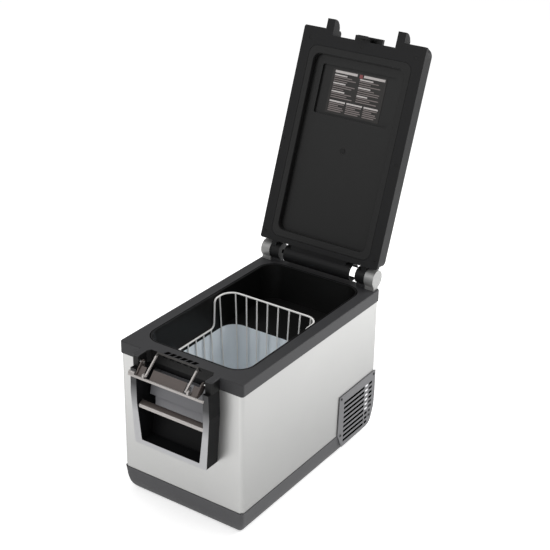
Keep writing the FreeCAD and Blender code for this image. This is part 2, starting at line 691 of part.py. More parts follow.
def inlets():
    shell = rod("DcShell", "Y", ("-62", "300", "128"), "14", "21")
    mouth = rod("DcMouth", "Y", ("-62", "305", "128"), "8.5", "20")
    pins = [rod("DcPin", "Y", (x, "304", "128"), "1.2", "12") for x in ("-66", "-58")]
    node(join("DcInlet", [cut("DcCup", shell, mouth)] + pins), "dc_inlet")
    case = block("AcCase", ("-78", "300", "61"), ("32", "21", "24"))
    space = block("AcSpace", ("-74", "304", "65"), ("24", "20", "16"))
    blades = [block("AcBlade", (x, "303", "71"), ("2", "13", "4")) for x in ("-69", "-57")]
    node(join("AcInlet", [cut("AcCup", case, space)] + blades), "ac_inlet")


def fasteners():
    """Round-head screws, one node for each size and place of use."""
    covers = []
    for side in (-1, 1):
        for y, z in (("grille_front + 11", "grille_top - 9"), ("grille_rear - 9", "grille_top - 8"),
                     ("grille_front + 11", "66")):
            x = "body_width / 2 + 1.3" if side > 0 else "-body_width / 2 - 2.9"
            covers.append(rod("CoverScrew", "X", (x, y, z), "3.5", "1.6"))
    for x in ("-116", "116"):
        for z in ("36", "180"):
            covers.append(rod("PanelScrew", "Y", (x, "319", z), "3.5", "1.6"))
    node(group("CoverScrews", covers), "cover_screws")
    bolts = [rod("GripBolt", "X", (x, y, "grip_level + 5"), "2.5", "17")
             for x in ("grip_half - 8.8", "-grip_half - 8.2") for y in ("-338", "338")]
    node(group("GripBolts", bolts), "handle_bolts")
    lid = [rod("LidScrew", "Z", (x, y, "lid_under + 0.4"), "3.4", "1.6") for x, y in LID_SCREWS]
    node(opened(group("LidScrews", lid)), "lid_screws")


# ---------------------------------------------------------------- compressor bay

def compressor_bay():
    plate = slab("MountPlate", "top", rectangle("-150", "160", "104", "287"), "plate_level - 2",
                 "plate_level")
    studs = [rod("Stud", "Z", (x, y, "plate_level - 1"), "4", "10") for x in ("can_x - 52", "can_x + 52")
             for y in ("can_y - 52", "can_y + 52")]
    legs = [block("PlateLeg", (x, "160", "10.2"), ("10", "127", "plate_level - 12.2"))
            for x in ("-150", "94")]
    node(join("MountPlateWhole", [plate] + legs + studs), "compressor_plate")
    grommets = [pipe("Grommet", "Z", (x, y, "plate_level + 0.2"), "8", "4.2", "9")
                for x in ("can_x - 52", "can_x + 52") for y in ("can_y - 52", "can_y + 52")]
    node(group("Grommets", grommets), "compressor_grommets")
    foot = block("CanFoot", ("can_x - 60", "can_y - 60", "plate_level + 9.4"), ("120", "120", "3"))
    can = [foot, rod("Can", "Z", ("can_x", "can_y", "plate_level + 12"), "can_radius", "can_height"),
           ball("CanDome", ("can_x", "can_y", "plate_level + 12 + can_height - 26"), "can_radius"),
           block("TerminalBox", ("can_x - 22", "can_y - can_radius - 14", "plate_level + 60"),
                 ("44", "20", "40"))]
    node(join("Compressor", can), "compressor")
    fins = []
    for line in range(12):
        fins.append(block("Fin", ("coil_x", "158", "36 + 9.6 * %d" % line), ("coil_depth", "128", "1.2")))
    rows = [rod("CoilRun", "Y", ("coil_x + coil_depth / 2", "154", "48 + 24 * %d" % line), "4", "136")
            for line in range(4)]
    ends = [block("CoilEnd", ("coil_x", y, "34"), ("coil_depth", "1.6", "112")) for y in ("157", "286")]
    node(join("CondenserCoil", fins + rows + ends), "condenser_coil")


def fan():
    x, y, z = "fan_x", "fan_y", "fan_z"
    case = block("FanCase", (x, "fan_y - fan_size / 2", "fan_z - fan_size / 2"),
                 ("fan_depth", "fan_size", "fan_size"))
    hole = rod("FanHole", "X", ("fan_x - 1", y, z), "fan_size / 2 - 3", "fan_depth + 2")
    spokes = [block("Spoke", ("fan_x + fan_depth - 3", "fan_y - fan_size / 2 + 1", "fan_z - 2"),
                    ("3", "fan_size - 2", "4")),
              block("Spoke", ("fan_x + fan_depth - 3", "fan_y - 2", "fan_z - fan_size / 2 + 1"),
                    ("3", "4", "fan_size - 2"))]
    node(join("FanFrame", [cut("FanRing", case, hole)] + spokes), "fan_frame")
    node(rod("FanMotor", "X", ("fan_x + fan_depth - 13", y, z), "16", "9.8"), "fan_motor")
    hub = rod("FanHub", "X", ("fan_x + 1", y, z), "19", "10.5")
    blades = []
    for turn in range(7):
        blade = block("Blade%d" % turn, ("fan_x + 5", "fan_y - 9", "fan_z + 16"), ("1.6", "18", "38"))
        centre = FreeCAD.Vector(size_of(x) + 6, size_of(y), size_of(z))
        pitch = FreeCAD.Rotation(FreeCAD.Vector(0, 0, 1), 24)
        around = FreeCAD.Rotation(FreeCAD.Vector(1, 0, 0), turn * 360 / 7)
        start = FreeCAD.Vector(-0.8, -9, 16)
        blade.setExpression("Placement.Base.x", None)
        blade.setExpression("Placement.Base.y", None)
        blade.setExpression("Placement.Base.z", None)
        blade.Placement = FreeCAD.Placement(centre, around.multiply(pitch)).multiply(
            FreeCAD.Placement(start, FreeCAD.Rotation()))
        blades.append(blade)
    node(join("FanBlades", [hub] + blades), "fan_blades")


def plumbing():
    node(join("Drier", [rod("DrierBody", "Z", ("20", "172", "40"), "9.5", "90"),
                        rod("DrierNeck", "Z", ("20", "172", "34"), "4", "102")]), "filter_drier")
    discharge = [(-28, 186, 150), (-10, 150, 150), (-10, 150, 205), (60, 150, 205), (159, 150, 190)]
    suction = [(-126, 181, 140), (-126, 160, 170), (-110, 142, 190), (-110, 142, 280)]
    for name, label, route, radius in (("Discharge", "discharge_tube", discharge, 3),
                                       ("Suction", "suction_tube", suction, 4)):
        points = [FreeCAD.Vector(*point) for point in route]
        node(from_shape(name, wire_path(points, radius)), label)
    node(block("Controller", ("-178", "160", "40"), ("26", "110", "80")), "compressor_controller")
    node(block("PowerBoard", ("30", "200", "200"), ("120", "90", "40")), "power_supply")


def interior_fittings():
    node(rod("Sensor", "X", ("141.3", "210", "380"), "4", "4.8"), "temperature_sensor")
    node(rod("LampBody", "X", ("146", "180", "392"), "8.6", "8"), "interior_light")
    node(pipe("DrainSpout", "Z", ("0", "-90", "foot_height + 1"), "11", "8.4",
              "tub_floor - foot_height - 0.8"), "drain_spout")
    stem = rod("PlugStem", "Z", ("0", "-90", "tub_floor - 14"), "8.1", "16")
    head = rod("PlugHead", "Z", ("0", "-90", "tub_floor + 0.6"), "12", "2.4")
    wing = block("PlugWing", ("-9", "-91.2", "tub_floor + 2.6"), ("18", "2.4", "3"))
    node(join("DrainPlug", [stem, head, wing]), "drain_plug")


# ---------------------------------------------------------------- hinges and lid

def hinge_line(x):
    return (x, "hinge_y", "hinge_z")


def hinges():
    """Two brackets on the rear of the rim and the two pins that they hold."""
    length = "cap_outer - knuckle_outer - seam"
    brackets = []
    pins = []
    for start, pin_start in (("knuckle_outer + seam", "knuckle_outer - 20"),
                             ("-cap_outer", "-knuckle_outer - 20")):
        cap = rod("Cap", "X", hinge_line(start), "barrel_radius", length)
        foot = block("CapFoot", (start, "hinge_y - 17", "rim_top"), (length, "23", "hinge_z - rim_top"))
        hole = rod("CapBore", "X", hinge_line(pin_start), "pin_radius + 0.02", "40")
        brackets.append(cut("Bracket", join("CapWhole", [cap, foot]), hole))
        pins.append(rod("HingePin", "X", hinge_line(pin_start), "pin_radius", "40"))
    node(group("HingeBrackets", brackets), "hinge_brackets")
    node(group("HingePins", pins), "hinge_pins")


def lid_blank():
    body = new_body("LidBlank")
    pad(body, "top", [rounded("lid_half", "lid_front", "lid_rear", "lid_corner")], "lid_under",
        "lid_under + lid_flange")
    pad(body, "top", [rounded("lid_half", "lid_front", "lid_rear", "lid_crown")],
        "lid_under + lid_flange", "lid_over")
    top = size_of("lid_over")
    soften(body, "Fillet", "lid_edge", lambda p: near(p.z, top))
    notch = rectangle("-tab_inner", "lid_front - 5", "tab_inner", "lid_front + notch_depth")
    pocket(body, "top", [notch], "lid_over + 5", "lid_under - 5")
    rear = [("lid_rear + 5", "lid_under + 6"), ("lid_rear", "lid_under + 6"),
            ("lid_rear - 18", "lid_over + 5"), ("lid_rear + 5", "lid_over + 5")]
    pocket(body, "side", [rear], "-200", "200")
    hollow = rounded("seal_half", "seal_front", "seal_rear", "24")
    pocket(body, "top", [hollow], "lid_under - 5", "lid_over - skin")
    groove = [rounded("150", "-272", "238", "24"), rounded("143", "-265", "231", "17")]
    pocket(body, "top", groove, "lid_over + 1", "lid_over - 1.4")
    return body


def lid_shell():
    pieces = [lid_blank()]
    arc_top = "lid_under + 34"
    tab = [("lid_front + 12", "lid_under"), ("lid_front - tab_reach", "lid_under"),
           ("lid_front - tab_reach", "lid_under + 7"), ("lid_front - tab_reach + 3", "lid_under + 17"),
           ("lid_front - tab_reach + 10", "lid_under + 26"),
           ("lid_front - tab_reach + 20", "lid_under + 32"),
           ("lid_front + 12", arc_top)]
    for start, end in (("tab_inner", "tab_outer"), ("-tab_outer", "-tab_inner")):
        pieces.append(slab("LidTab", "side", tab, start, end))
    web = [("lid_rear - 16", "hinge_z - 20"), ("lid_rear", "hinge_z - 22"), ("hinge_y - 12", "hinge_z - 20"),
           ("hinge_y - 12", "hinge_z + 12"), ("lid_rear - 16", "hinge_z + 10")]
    for start, end in (("18 - barrel_half", "barrel_half - 18"), ("knuckle_inner + 14", "knuckle_outer"),
                       ("-knuckle_outer", "-knuckle_inner - 14")):
        pieces.append(slab("HingeWeb", "side", web, start, end))
    pieces.append(rod("HingeBarrel", "X", hinge_line("-barrel_half"), "barrel_radius", "2 * barrel_half"))
    for start in ("knuckle_inner", "-knuckle_outer"):
        pieces.append(rod("Knuckle", "X", hinge_line(start), "knuckle_radius",
                          "knuckle_outer - knuckle_inner"))
    bore = rod("KnuckleBore", "X", hinge_line("knuckle_inner - 10"), "pin_radius + fit_gap", "40")
    other = rod("KnuckleBore", "X", hinge_line("-knuckle_outer - 10"), "pin_radius + fit_gap", "40")
    hollow = rod("BarrelHollow", "X", hinge_line("-barrel_half - 1"), "barrel_radius - 3",
                 "2 * barrel_half + 2")
    windows = [block("BarrelWindow", (start, "hinge_y - 12", "hinge_z + 10"), ("31", "27", "20"))
               for start in ("barrel_half - 30", "-barrel_half - 1")]
    screws = [rod("ScrewSeat", "Z", (x, y, "lid_under - 5"), "4", "7") for x, y in LID_SCREWS]
    whole = cut("LidShell", join("LidWhole", pieces),
                join("LidBores", [bore, other, hollow] + windows + screws))
    return node(opened(whole), "lid_shell")


def lid_inner_panel():
    body = new_body("LidInnerPanel")
    pad(body, "top", [rounded("seal_half - 0.4", "seal_front + 0.4", "seal_rear - 0.4", "23.6")],
        "446.3", "449.3")
    pad(body, "top", [rounded("panel_half + 2", "panel_front - 2", "panel_rear + 2", "22")],
        "449.2", "recess + skin")
    pad(body, "top", [rounded("label_half + 3", "label_near - 3", "label_far + 3", "8")],
        "recess + skin - 0.1", "recess + 10")
    pocket(body, "top", [rounded("panel_half - 1", "panel_front + 1", "panel_rear - 1", "20")],
           "440", "recess")
    pocket(body, "top", [rounded("label_half", "label_near", "label_far", "5")], "440", "recess + 7")
    stud = rod("PlugSeat", "Z", ("0", "-2.2", "440"), "8.2", "30")
    return node(opened(cut("LidInnerPanelCut", body, stud)), "lid_inner_panel")


def lid_foam():
    body = new_body("LidFoam")
    pad(body, "top", [rounded("seal_half - 1", "seal_front + 1", "seal_rear - 1", "23")],
        "449.7", "lid_over - skin - 0.4")
    pocket(body, "top", [rounded("panel_half + 2.5", "panel_front - 2.5", "panel_rear + 2.5", "22")],
           "440", "recess + skin + 0.4")
    pocket(body, "top", [rounded("label_half + 3.5", "label_near - 3.5", "label_far + 3.5", "8")],
           "440", "recess + 10.4")
    return node(opened(body), "lid_foam")


def lid_seal():
    body = new_body("LidSeal")
    pad(body, "top", [rounded("seal_half - 0.4", "seal_front + 0.4", "seal_rear - 0.4", "23.6")],
        "rim_top + 0.4", "446")
    pocket(body, "top", [rounded("panel_half", "panel_front", "panel_rear", "20")], "rim_top - 1", "450")
    soften(body, "Fillet", "1.6", lambda p: near(p.z, size_of("rim_top + 0.4")))
    return node(opened(body), "lid_gasket")


def lid_fittings():
    tongue = block("Tongue", ("-catch_half", "-316.5", "470"), ("2 * catch_half", "15", "10"))
    hook = slab("HookWeb", "side", [("-301.6", "447"), ("-307.5", "447"), ("-307.5", "431.5"),
                                    ("-316", "432"), ("-316.5", "437.5"), ("-314.5", "436.5"),
                                    ("-310.5", "436"), ("-310.5", "471"), ("-301.6", "471")], "-15", "15")
    node(opened(join("LatchCatch", [tongue, hook])), "latch_catch")
    label = block("LabelBlank", ("-85", "-217.2", "recess + 6"), ("170", "122", "0.9"))
    node(opened(group("LabelPlate", [label])), "lid_label")
    plug = rod("PlugBlank", "Z", ("0", "-2.2", "recess - 1.2"), "8", "4.2")
    node(opened(group("LidPlug", [plug])), "lid_plug")


# ---------------------------------------------------------------- basket

def basket_half_at(level):
    """Half the basket's width at a level: it narrows towards its floor."""
    share = (level - size_of("basket_floor")) / (size_of("basket_top") - size_of("basket_floor"))
    return size_of("basket_low_half") + share * size_of("basket_half - basket_low_half")


def rail_corner(x, y, level, start):
    """A quarter turn of the rail about this centre, from the start angle in degrees."""
    turn = size_of("basket_turn")
    angles = [math.radians(start + part) for part in (0, 45, 90)]
    points = [FreeCAD.Vector(x + turn * math.cos(a), y + turn * math.sin(a), level) for a in angles]
    return Part.Arc(*points).toShape()


def basket_rim():
    """The hand rail's centre line: low along the front and sides, stepping up round the rear."""
    low, high = size_of("basket_side_level"), size_of("basket_top")
    front, rear = size_of("basket_front"), size_of("basket_rear")
    wide, narrow, turn = basket_half_at(high), basket_half_at(low), size_of("basket_turn")
    corners = [rail_corner(narrow - turn, front + turn, low, -90),
               rail_corner(wide - turn, rear - turn, high, 0),
               rail_corner(turn - wide, rear - turn, high, 90),
               rail_corner(turn - narrow, front + turn, low, 180)]
    foot, head = size_of("basket_step - 8"), size_of("basket_step + 10")
    right = [FreeCAD.Vector(narrow, foot, low), FreeCAD.Vector(wide, head, high)]
    left = [FreeCAD.Vector(-wide, head, high), FreeCAD.Vector(-narrow, foot, low)]
    edges = []
    for i, between in enumerate((right, [], left, [])):
        corner, following = corners[i], corners[(i + 1) % 4]
        stops = [corner.valueAt(corner.LastParameter)] + between
        stops.append(following.valueAt(following.FirstParameter))
        edges.append(corner)
        edges += [Part.LineSegment(a, b).toShape() for a, b in zip(stops, stops[1:])]
    return edges


def swept_rail(edges, radius):
    """A round bar swept along a closed run of edges."""
    first = edges[-1]
    start = first.valueAt(first.FirstParameter)
    ring = Part.Wire(Part.makeCircle(radius, start, first.tangentAt(first.FirstParameter)))
    return Part.Wire([first] + edges[:-1]).makePipeShell([ring], True, False, 2)


def rail_inset(x, half):
    """How far the rail's round corner stands in from its straight run at this x."""
    turn = size_of("basket_turn")
    past = abs(x) - (half - turn)
    return turn - math.sqrt(turn ** 2 - past ** 2) if past > 0 else 0


def basket_routes():
    """The wires that run down one wall, across the floor and up the other: four points each."""
    floor, low, high = size_of("basket_floor"), size_of("basket_side_level"), size_of("basket_top")
    front, rear = size_of("basket_front"), size_of("basket_rear")
    under = floor - 2 * size_of("wire_radius") + 0.4
    routes = []
    for column in range(-4, 4):
        x = (column + 0.5) * size_of("wire_pitch")
        start = front + rail_inset(x, basket_half_at(low))
        end = rear - rail_inset(x, basket_half_at(high))
        routes.append([(x, start, low), (0.87 * x, front + 9, floor), (0.87 * x, rear - 9, floor),
                       (x, end, high)])
    side = [(low, size_of("basket_front + 46 + 33.5 * %d" % line)) for line in range(7)]
    for level, y in side + [(high, size_of("basket_step + 28"))]:
        routes.append([(-basket_half_at(level), y, level), (-basket_half_at(floor), y, under),
                       (basket_half_at(floor), y, under), (basket_half_at(level), y, level)])
    return [[FreeCAD.Vector(*point) for point in route] for route in routes]


def upright(foot, head):
    """A straight wire that starts just above the floor wire and ends just below the rail."""
    run = head - foot
    step = run / run.z
    first = foot + step * (size_of("wire_radius") + 0.3)
    last = head - step * (size_of("rail_radius") + 0.25)
    return Part.makeCylinder(size_of("wire_radius"), (last - first).Length, first, last - first)


def wire_basket():
    """The hand rail, the floor grid and the uprights between them."""
    radius = size_of("wire_radius")
    node(from_shape("BasketRail", swept_rail(basket_rim(), size_of("rail_radius"))), "basket_rail")
    routes = basket_routes()
    runs = [wire_path(route[1:3], radius) for route in routes]
    tips = [Part.makeSphere(radius + size_of("bend_swell"), point)
            for route in routes for point in route[1:3]]
    node(from_shape("BasketFloor", runs[0].multiFuse(runs[1:] + tips)), "basket_floor_wires")
    uprights = [upright(foot, head) for route in routes
                for foot, head in ((route[1], route[0]), (route[2], route[3]))]
    node(from_shape("BasketUprights", Part.makeCompound(uprights)), "basket_upright_wires")


# ---------------------------------------------------------------- build and write

def build():
    outer_cabinet()
    base_tray()
    rubber_feet()
    base_inserts()
    top_rim()
    collar_liner()
    inner_tub()
    insulation_foam()
    evaporator_panel()
    handles()
    control_panel()
    display_window()
    buttons()
    control_board()
    latch_lever()
    latch_bail()
    latch_pins()
    grille("GrilleRight", "vent_grille_right", 1)
    grille("GrilleLeft", "vent_grille_left", -1)
    service_panel()
    inlets()
    fasteners()
    compressor_bay()
    fan()
    plumbing()
    interior_fittings()
    hinges()
    lid_shell()
    lid_inner_panel()
    lid_foam()
    lid_seal()
    lid_fittings()
    wire_basket()


def check():
    doc.recompute()
    for item in doc.Objects:
        if "Invalid" in item.State or "Error" in item.State:
            raise RuntimeError("%s failed: %s" % (item.Name, item.State))
    for item in NODES:
        if item.Shape.isNull() or not item.Shape.isValid():
            raise RuntimeError(item.Label + " has no valid shape")
        if not item.Shape.Solids:
            raise RuntimeError(item.Label + " has no solid")


def write():
    os.makedirs("parts", exist_ok=True)
    for item in NODES:
        item.Shape.exportStep(os.path.join("parts", item.Label + ".step"))


build()
check()
write()
print("%d nodes" % len(NODES))
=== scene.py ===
import bpy
import bmesh
import json
import math
from mathutils import Matrix, Vector

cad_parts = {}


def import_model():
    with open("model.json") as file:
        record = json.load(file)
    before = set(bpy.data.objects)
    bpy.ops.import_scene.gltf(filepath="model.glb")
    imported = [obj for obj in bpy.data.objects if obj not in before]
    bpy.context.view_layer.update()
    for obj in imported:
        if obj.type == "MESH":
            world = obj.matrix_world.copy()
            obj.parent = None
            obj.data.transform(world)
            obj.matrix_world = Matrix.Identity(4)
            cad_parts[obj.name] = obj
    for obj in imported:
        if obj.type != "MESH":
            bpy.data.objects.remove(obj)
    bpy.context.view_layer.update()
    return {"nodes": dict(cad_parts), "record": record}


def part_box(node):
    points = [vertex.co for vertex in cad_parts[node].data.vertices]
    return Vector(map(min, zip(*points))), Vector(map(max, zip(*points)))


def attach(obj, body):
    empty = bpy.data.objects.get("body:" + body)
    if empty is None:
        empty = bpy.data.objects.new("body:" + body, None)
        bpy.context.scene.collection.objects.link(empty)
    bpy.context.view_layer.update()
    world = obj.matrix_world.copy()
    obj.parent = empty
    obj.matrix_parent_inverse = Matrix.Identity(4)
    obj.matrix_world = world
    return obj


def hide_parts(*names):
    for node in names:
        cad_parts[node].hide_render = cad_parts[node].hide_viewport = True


# Compressor cooler fridge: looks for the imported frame. Metres, the same frame as the CAD.

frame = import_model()
nodes = frame["nodes"]
MM = 0.001

# How far the lid of the frame stands open.
OPEN_ANGLE = math.radians(-109.9)

# Sizes and places in millimetres, with the lid shut.
HINGE = Vector((0, 311.2, 470.5))
RIM_TOP = 441
MOUTH_HALF, MOUTH_FRONT, MOUTH_REAR, MOUTH_ROUND = 155, -269, 287, 48
BASKET_FLOOR, BASKET_LOW, BASKET_HIGH = 118, 352, 433
BASKET_FRONT, BASKET_REAR, BASKET_STEP, BASKET_TURN = -252, 82, 12, 36
BASKET_HALF, BASKET_FLOOR_HALF = 145.3, 127
WIRE_RADIUS, RAIL_RADIUS, WIRE_BEND = 2, 2.5, 16
WIRE_PITCH, CROSS_PITCH, CROSS_FIRST = 34.7, 33.5, -206
GRILLE_ROWS, GRILLE_FIRST, GRILLE_PITCH, GRILLE_SHORTEST = 9, 43, 14.7, 6
LABEL_LEFT, LABEL_NEAR, LABEL_WIDE, LABEL_LONG = -85, -217.2, 170, 122

# The camera, in degrees, millimetres of lens and metres.
AZIMUTH, ELEVATION, ROLL = 34.21, 25.82, 0.90
LENS, SENSOR = 85.76, 36
CAMERA_PLACE = (1.744, -2.476, 2.019)

# The strength of the light all round and of the floor's glow, then the floor's radius in metres.
AMBIENT = 0.5
FLOOR_GLOW = 0.52
FLOOR_RADIUS, FLOOR_SIDES = 12, 64

# Each lamp: name, place, target, size of its square face, all in metres, and power in watts.
LIGHTS = (
    ("key_right", (2.2, 1.0, 2.0), (0.35, 0.25, 0.2), 1.8, 6),
    ("fill_front", (-1.2, -2.2, 2.2), (-0.3, -0.7, 0.1), 1.6, 20),
    ("rear_pool", (1.3, 1.5, 1.2), (0.7, 0.8, 0), 0.8, 26),
    ("top_soft", (0.1, 0.2, 3.4), (0, 0, 0.3), 2.2, 22),
)


# ---------------------------------------------------------------- camera, light and floor

def camera():
    azimuth, elevation, roll = (math.radians(angle) for angle in (AZIMUTH, ELEVATION, ROLL))
    right = Vector((math.cos(azimuth), math.sin(azimuth), 0))
    back = Vector((math.sin(azimuth) * math.cos(elevation), -math.cos(azimuth) * math.cos(elevation),
                   math.sin(elevation)))
    up = back.cross(right)
    across = right * math.cos(roll) + up * math.sin(roll)
    above = up * math.cos(roll) - right * math.sin(roll)
    data = bpy.data.cameras.new("view_camera")
    data.sensor_width = SENSOR
    data.lens = LENS
    data.clip_start, data.clip_end = 0.1, 60
    item = bpy.data.objects.new("view_camera", data)
    turn = Matrix((across, above, back)).transposed().to_4x4()
    item.matrix_world = Matrix.Translation(CAMERA_PLACE) @ turn
    bpy.context.scene.collection.objects.link(item)
    bpy.context.scene.camera = item


def area_light(name, place, target, size, power):
    data = bpy.data.lights.new(name, "AREA")
    data.shape = "RECTANGLE"
    data.size = data.size_y = size
    data.energy = power
    item = bpy.data.objects.new(name, data)
    item.location = place
    item.rotation_mode = "QUATERNION"
    item.rotation_quaternion = (Vector(target) - Vector(place)).to_track_quat("-Z", "Y")
    bpy.context.scene.collection.objects.link(item)


def world():
    """A white backdrop for the camera, with a dimmer soft box of light for everything else."""
    made = bpy.data.worlds.new("studio")
    bpy.context.scene.world = made
    made.use_nodes = True
    tree = made.node_tree
    tree.nodes["Background"].inputs["Strength"].default_value = AMBIENT
    tree.nodes["Background"].inputs["Color"].default_value = (1, 1, 1, 1)
    white = tree.nodes.new("ShaderNodeBackground")
    white.inputs["Color"].default_value = (1, 1, 1, 1)
    white.inputs["Strength"].default_value = 1.0
    path = tree.nodes.new("ShaderNodeLightPath")
    mix = tree.nodes.new("ShaderNodeMixShader")
    tree.links.new(path.outputs["Is Camera Ray"], mix.inputs[0])
    tree.links.new(tree.nodes["Background"].outputs[0], mix.inputs[1])
    tree.links.new(white.outputs[0], mix.inputs[2])
    tree.links.new(mix.outputs[0], tree.nodes["World Output"].inputs["Surface"])


def stage():
    """The backdrop, a pale floor that glows a little so that it reads white, and the lights."""
    world()
    bpy.context.scene.view_settings.view_transform = "Standard"
    mesh = bpy.data.meshes.new("floor")
    angles = [2 * math.pi * i / FLOOR_SIDES for i in range(FLOOR_SIDES)]
    rim = [(FLOOR_RADIUS * math.cos(a), FLOOR_RADIUS * math.sin(a), 0) for a in angles]
    mesh.from_pydata(rim, [], [list(range(FLOOR_SIDES))])
    floor = bpy.data.objects.new("floor", mesh)
    bpy.context.scene.collection.objects.link(floor)
    material = bpy.data.materials.new("pale_floor")
    material.use_nodes = True
    shader = material.node_tree.nodes["Principled BSDF"]
    shader.inputs["Base Color"].default_value = (0.92, 0.92, 0.92, 1)
    shader.inputs["Roughness"].default_value = 0.8
    shader.inputs["Specular IOR Level"].default_value = 0.0
    shader.inputs["Emission Color"].default_value = (1, 1, 1, 1)
    shader.inputs["Emission Strength"].default_value = FLOOR_GLOW
    mesh.materials.append(material)
    for values in LIGHTS:
        area_light(*values)


# ---------------------------------------------------------------- materials

GLOSS_SPREAD = 0.06
EDGE_BLUR = 0.0005
FLAT_FROM, FLAT_TO = 0.72, 0.8
# The silver trim's colour factor at its top, where the painted reflection runs dark.
TRIM_PAINTED_SHADE = 0.14
ZONE_BLUR = 0.0003
ZONE_LOW = 0.2
# Black for the painted shade in the pockets.
POCKET_SHADE_BLACK = (0.003, 0.003, 0.003, 1)


def tint(colour, factor):
    return tuple(min(1.0, channel * factor) for channel in colour) + (1,)


class Tree:
    """Small helper for building one material's nodes."""

    def __init__(self, name):
        self.material = bpy.data.materials.new(name)
        self.material.use_nodes = True
        self.tree = self.material.node_tree
        self.shader = self.tree.nodes["Principled BSDF"]

    def make(self, kind, operation=None, **values):
        item = self.tree.nodes.new(kind)
        if operation:
            item.operation = operation
        for key, value in values.items():
            item.inputs[key].default_value = value
        return item

    def join(self, a, a_socket, b, b_socket):
        self.tree.links.new(a.outputs[a_socket], b.inputs[b_socket])

    def mix(self, factor, socket, low, high):
        """A colour between two, by a factor."""
        item = self.tree.nodes.new("ShaderNodeMix")
        item.data_type = "RGBA"
        for index, end in ((6, low), (7, high)):
            if isinstance(end, tuple):
                item.inputs[index].default_value = end
            else:
                self.tree.links.new(end, item.inputs[index])
        self.join(factor, socket, item, 0)
        return item.outputs[2]

    def split(self, source, socket):
        """A vector's X, Y and Z."""
        item = self.make("ShaderNodeSeparateXYZ")
        self.join(source, socket, item, "Vector")
        return item

    def size_along(self, source, axis):
        """The absolute value of one part of a vector."""
        size = self.make("ShaderNodeMath", "ABSOLUTE")
        self.join(source, axis, size, 0)
        return size

    def ramp(self, source, socket, start, end, kind="LINEAR"):
        """Nought below the start, one past the end."""
        level = self.make("ShaderNodeMapRange", **{"From Min": start, "From Max": end})
        level.interpolation_type = kind
        self.join(source, socket, level, "Value")
        return level

    def both(self, a, b):
        """The product of two factors."""
        product = self.make("ShaderNodeMath", "MULTIPLY")
        self.join(a, 0, product, 0)
        self.join(b, 0, product, 1)
        return product


def silver_trim_painted_reflection(net, tone, split, normal, trim):
    """A second colour on the faces that look along Y, past a distance.

    It runs to its dark end between the low and the high level: the silver is the trim's own colour, and its
    fall to dark with height is a painted reflection.
    """
    colour, distance, low, high = trim
    beyond = net.ramp(net.size_along(split, "Y"), "Value", distance, distance + EDGE_BLUR)
    flat = net.ramp(net.size_along(normal, "Y"), "Value", FLAT_FROM, FLAT_TO)
    height = net.ramp(split, "Z", low, high)
    # Painted reflection: the trim colour is full low down and darker higher up.
    bright = net.mix(height, "Result", tint(colour, 1.0), tint(colour, TRIM_PAINTED_SHADE))
    return net.mix(net.both(beyond, flat), "Value", tone, bright)


def painted_pocket_shade(net, tone, split, zone):
    """Painted shade, black in a front and a rear box at the pockets: half width, near and far distance
    along Y, highest level.
    """
    half, near, far, top = zone
    inside = None
    for axis, low, high in (("X", -1.0, half), ("Y", near, far), ("Z", ZONE_LOW, top)):
        size = net.size_along(split, axis)
        for edge, way in ((low, 1), (high, -1)):
            step = net.ramp(size, "Value", edge - way * ZONE_BLUR, edge + way * ZONE_BLUR)
            inside = net.both(inside, step) if inside else step
    return net.mix(inside, 0, tone, POCKET_SHADE_BLACK)


def painted_side_shade(net, tone, normal, factor):
    """The colour times a factor on the faces that look along X: painted shade on those faces."""
    shade = net.mix(net.size_along(normal, "X"), "Value", (1, 1, 1, 1), (factor, factor, factor, 1))
    product = net.tree.nodes.new("ShaderNodeMix")
    product.data_type = "RGBA"
    product.blend_type = "MULTIPLY"
    product.inputs[0].default_value = 1.0
    net.tree.links.new(tone, product.inputs[6])
    net.tree.links.new(shade, product.inputs[7])
    return product.outputs[2]


